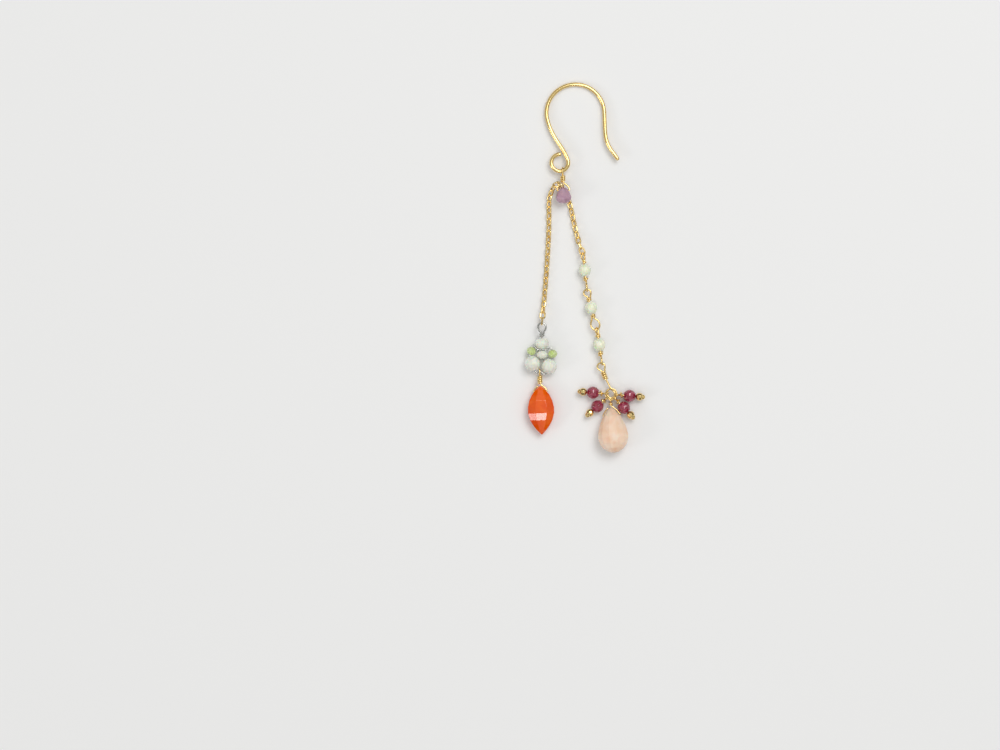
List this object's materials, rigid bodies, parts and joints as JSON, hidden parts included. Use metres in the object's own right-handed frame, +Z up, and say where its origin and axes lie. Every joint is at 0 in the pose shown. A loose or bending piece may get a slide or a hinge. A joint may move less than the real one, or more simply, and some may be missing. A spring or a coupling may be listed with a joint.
{
  "type": "drop earring",
  "caption": "Drop earring with a bent wire ear hook, a small stone drop, and two fine chain strands that end in wire-wrapped beads and faceted drops.",
  "frame": {"origin": "on the surface that the earring lies on, under the middle of its outline", "axes": "+Z up from the surface, +Y from the drops towards the ear hook's bow, +X to the right seen from above"},
  "size_m": [0.024, 0.074, 0.0045],
  "materials": {
    "gold_wire": "polished gold plating on drawn wire",
    "silver_wire": "polished silver-coloured wire",
    "amethyst": "faceted and polished, translucent mauve",
    "pale_green_stone": "faceted, milky pale green",
    "grey_green_stone": "faceted, milky grey-green",
    "peridot": "faceted and polished, clear yellow-green",
    "garnet": "faceted and polished, deep red",
    "peach_stone": "faceted and polished, milky peach",
    "carnelian": "faceted and polished, orange-red"
  },
  "bodies": {
    "root": {"ear_hook": "gold_wire", "amethyst_wrap": "gold_wire", "amethyst_drop": "amethyst", "chain_long": "gold_wire", "chain_short": "gold_wire", "link_wire_1": "gold_wire", "link_bead_1": "pale_green_stone", "link_wire_2": "gold_wire", "link_bead_2": "pale_green_stone", "link_wire_3": "gold_wire", "link_bead_3": "pale_green_stone", "cluster_wire": "gold_wire", "garnet_pin_1": "gold_wire", "garnet_bead_1": "garnet", "garnet_pin_2": "gold_wire", "garnet_bead_2": "garnet", "garnet_pin_3": "gold_wire", "garnet_bead_3": "garnet", "garnet_pin_4": "gold_wire", "garnet_bead_4": "garnet", "peach_wrap": "gold_wire", "peach_drop": "peach_stone", "motif_wire": "silver_wire", "motif_bead_top": "grey_green_stone", "motif_bead_middle": "grey_green_stone", "peridot_left": "peridot", "motif_bead_left": "grey_green_stone", "peridot_right": "peridot", "motif_bead_right": "grey_green_stone", "carnelian_wrap": "gold_wire", "carnelian_drop": "carnelian"}
  },
  "joints": []
}
